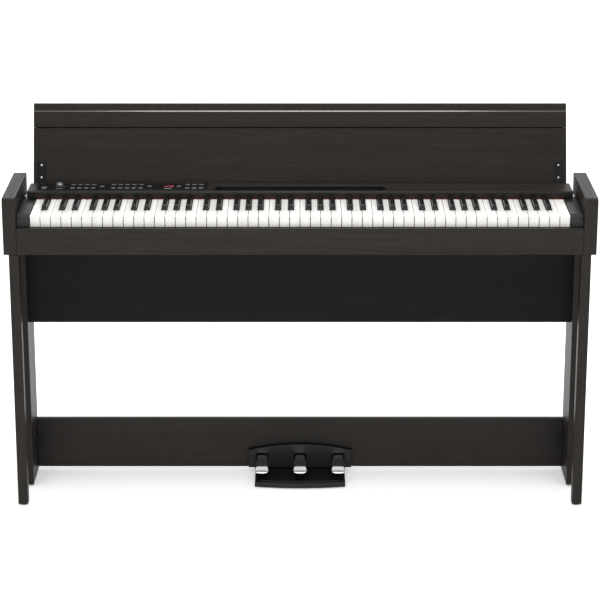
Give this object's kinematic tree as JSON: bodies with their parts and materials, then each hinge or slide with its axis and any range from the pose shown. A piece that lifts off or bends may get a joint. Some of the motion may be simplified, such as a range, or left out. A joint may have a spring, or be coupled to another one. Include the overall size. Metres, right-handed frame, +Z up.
{
  "type": "digital piano",
  "caption": "Slim dark brown digital piano on a board stand, with a folding lid, full weighted-size keyboard, button panel and three pedals.",
  "frame": {"origin": "on the floor under the middle of the whole object's footprint, with the lid open", "axes": "+X towards the treble end, +Y towards the wall, +Z up"},
  "size_m": [1.346, 0.3414, 0.8921],
  "materials": {
    "dark_wood": "satin dark brown wood-grain foil on board",
    "black_board": "matte black foil on board",
    "white_key": "polished white key plastic",
    "black_key": "satin black key plastic",
    "red_felt": "dark red felt",
    "gloss_black": "high gloss black panel",
    "black_plastic": "fine textured black plastic",
    "hinge_steel": "black coated steel",
    "button_grey": "dark grey moulded plastic",
    "bright_steel": "zinc plated steel",
    "pedal_chrome": "polished chrome plate",
    "circuit_board": "green solder mask",
    "foot_rubber": "matte black rubber"
  },
  "bodies": {
    "cabinet": {"connector_box": "black_plastic", "console_top": "dark_wood", "control_panel": "gloss_black", "display_window": "gloss_black", "felt_strip": "red_felt", "key_frame": "black_plastic", "key_slip": "dark_wood", "keybed": "black_board", "left_arm": "dark_wood", "left_bracket": "hinge_steel", "left_front_foot": "foot_rubber", "left_front_leg": "dark_wood", "left_hinge_pin": "bright_steel", "left_key_block": "black_plastic", "left_rear_foot": "foot_rubber", "left_rear_leg": "dark_wood", "left_speaker": "black_plastic", "modesty_panel": "black_board", "music_rest_tray": "black_plastic", "panel_circuit_board": "circuit_board", "pedal_board": "dark_wood", "pedal_housing": "black_plastic", "rear_wall": "dark_wood", "right_arm": "dark_wood", "right_bracket": "hinge_steel", "right_front_foot": "foot_rubber", "right_front_leg": "dark_wood", "right_hinge_pin": "bright_steel", "right_key_block": "black_plastic", "right_rear_foot": "foot_rubber", "right_rear_leg": "dark_wood", "right_speaker": "black_plastic"},
    "lid": {"lid_board": "dark_wood", "left_lid_hinge": "hinge_steel", "right_lid_hinge": "hinge_steel"},
    "flap": {"lid_flap": "dark_wood"},
    "left_pedal": {"left_pedal": "pedal_chrome"},
    "middle_pedal": {"middle_pedal": "pedal_chrome"},
    "right_pedal": {"right_pedal": "pedal_chrome"},
    "volume": {"volume_knob": "button_grey"},
    "power": {"power_button": "button_grey"},
    "voice_buttons": {"voice_buttons": "button_grey"},
    "rhythm_buttons": {"rhythm_buttons": "button_grey"},
    "song_buttons": {"song_buttons": "button_grey"},
    "white_keys_1": {"white_keys_1": "white_key"},
    "black_keys_1": {"black_keys_1": "black_key"},
    "white_keys_2": {"white_keys_2": "white_key"},
    "black_keys_2": {"black_keys_2": "black_key"},
    "white_keys_3": {"white_keys_3": "white_key"},
    "black_keys_3": {"black_keys_3": "black_key"},
    "white_keys_4": {"white_keys_4": "white_key"},
    "black_keys_4": {"black_keys_4": "black_key"},
    "white_keys_5": {"white_keys_5": "white_key"},
    "black_keys_5": {"black_keys_5": "black_key"},
    "white_keys_6": {"white_keys_6": "white_key"},
    "black_keys_6": {"black_keys_6": "black_key"},
    "white_keys_7": {"white_keys_7": "white_key"},
    "black_keys_7": {"black_keys_7": "black_key"}
  },
  "joints": [
    {"name": "lid_hinge", "type": "hinge", "parent": "cabinet", "child": "lid", "pos_m": [0, 0.0458, 0.6899], "axis": [1, 0, 0], "range_deg": [0, 108.5]},
    {"name": "flap_fold", "type": "hinge", "parent": "lid", "child": "flap", "pos_m": [0, 0.13887, 0.83855], "axis": [1, 0, 0], "range_deg": [0, 50]},
    {"name": "left_pedal_press", "type": "hinge", "parent": "cabinet", "child": "left_pedal", "pos_m": [-0.092, 0.0493, 0.044], "axis": [1, 0, 0], "range_deg": [0, 7], "stiffness_Nm_per_rad": 8, "springref_deg": -6.88},
    {"name": "middle_pedal_press", "type": "hinge", "parent": "cabinet", "child": "middle_pedal", "pos_m": [0, 0.0493, 0.044], "axis": [1, 0, 0], "range_deg": [0, 7], "stiffness_Nm_per_rad": 8, "springref_deg": -6.88},
    {"name": "right_pedal_press", "type": "hinge", "parent": "cabinet", "child": "right_pedal", "pos_m": [0.092, 0.0493, 0.044], "axis": [1, 0, 0], "range_deg": [0, 7], "stiffness_Nm_per_rad": 8, "springref_deg": -6.88},
    {"name": "volume_turn", "type": "hinge", "parent": "cabinet", "child": "volume", "pos_m": [-0.563, 0.0413, 0.72], "axis": [0, 0, 1], "range_deg": [-140, 140]},
    {"name": "power_press", "type": "slide", "parent": "cabinet", "child": "power", "axis": [0, 0, -1], "range_m": [0, 0.001], "stiffness_N_per_m": 400, "springref_m": -0.002},
    {"name": "voice_press", "type": "slide", "parent": "cabinet", "child": "voice_buttons", "axis": [0, 0, -1], "range_m": [0, 0.001], "stiffness_N_per_m": 500, "springref_m": -0.002},
    {"name": "rhythm_press", "type": "slide", "parent": "cabinet", "child": "rhythm_buttons", "axis": [0, 0, -1], "range_m": [0, 0.001], "stiffness_N_per_m": 500, "springref_m": -0.002},
    {"name": "song_press", "type": "slide", "parent": "cabinet", "child": "song_buttons", "axis": [0, 0, -1], "range_m": [0, 0.001], "stiffness_N_per_m": 500, "springref_m": -0.002},
    {"name": "white_press_1", "type": "hinge", "parent": "cabinet", "child": "white_keys_1", "pos_m": [0, 0.0453, 0.6695], "axis": [1, 0, 0], "range_deg": [0, 2.9], "stiffness_Nm_per_rad": 8, "springref_deg": -14.32},
    {"name": "black_press_1", "type": "hinge", "parent": "cabinet", "child": "black_keys_1", "pos_m": [0, 0.0263, 0.665], "axis": [1, 0, 0], "range_deg": [0, 3.9], "stiffness_Nm_per_rad": 3, "springref_deg": -8.59},
    {"name": "white_press_2", "type": "hinge", "parent": "cabinet", "child": "white_keys_2", "pos_m": [0, 0.0453, 0.6695], "axis": [1, 0, 0], "range_deg": [0, 2.9], "stiffness_Nm_per_rad": 8, "springref_deg": -14.32},
    {"name": "black_press_2", "type": "hinge", "parent": "cabinet", "child": "black_keys_2", "pos_m": [0, 0.0263, 0.665], "axis": [1, 0, 0], "range_deg": [0, 3.9], "stiffness_Nm_per_rad": 3, "springref_deg": -8.59},
    {"name": "white_press_3", "type": "hinge", "parent": "cabinet", "child": "white_keys_3", "pos_m": [0, 0.0453, 0.6695], "axis": [1, 0, 0], "range_deg": [0, 2.9], "stiffness_Nm_per_rad": 8, "springref_deg": -14.32},
    {"name": "black_press_3", "type": "hinge", "parent": "cabinet", "child": "black_keys_3", "pos_m": [0, 0.0263, 0.665], "axis": [1, 0, 0], "range_deg": [0, 3.9], "stiffness_Nm_per_rad": 3, "springref_deg": -8.59},
    {"name": "white_press_4", "type": "hinge", "parent": "cabinet", "child": "white_keys_4", "pos_m": [0, 0.0453, 0.6695], "axis": [1, 0, 0], "range_deg": [0, 2.9], "stiffness_Nm_per_rad": 8, "springref_deg": -14.32},
    {"name": "black_press_4", "type": "hinge", "parent": "cabinet", "child": "black_keys_4", "pos_m": [0, 0.0263, 0.665], "axis": [1, 0, 0], "range_deg": [0, 3.9], "stiffness_Nm_per_rad": 3, "springref_deg": -8.59},
    {"name": "white_press_5", "type": "hinge", "parent": "cabinet", "child": "white_keys_5", "pos_m": [0, 0.0453, 0.6695], "axis": [1, 0, 0], "range_deg": [0, 2.9], "stiffness_Nm_per_rad": 8, "springref_deg": -14.32},
    {"name": "black_press_5", "type": "hinge", "parent": "cabinet", "child": "black_keys_5", "pos_m": [0, 0.0263, 0.665], "axis": [1, 0, 0], "range_deg": [0, 3.9], "stiffness_Nm_per_rad": 3, "springref_deg": -8.59},
    {"name": "white_press_6", "type": "hinge", "parent": "cabinet", "child": "white_keys_6", "pos_m": [0, 0.0453, 0.6695], "axis": [1, 0, 0], "range_deg": [0, 2.9], "stiffness_Nm_per_rad": 8, "springref_deg": -14.32},
    {"name": "black_press_6", "type": "hinge", "parent": "cabinet", "child": "black_keys_6", "pos_m": [0, 0.0263, 0.665], "axis": [1, 0, 0], "range_deg": [0, 3.9], "stiffness_Nm_per_rad": 3, "springref_deg": -8.59},
    {"name": "white_press_7", "type": "hinge", "parent": "cabinet", "child": "white_keys_7", "pos_m": [0, 0.0453, 0.6695], "axis": [1, 0, 0], "range_deg": [0, 2.9], "stiffness_Nm_per_rad": 8, "springref_deg": -14.32},
    {"name": "black_press_7", "type": "hinge", "parent": "cabinet", "child": "black_keys_7", "pos_m": [0, 0.0263, 0.665], "axis": [1, 0, 0], "range_deg": [0, 3.9], "stiffness_Nm_per_rad": 3, "springref_deg": -8.59}
  ]
}
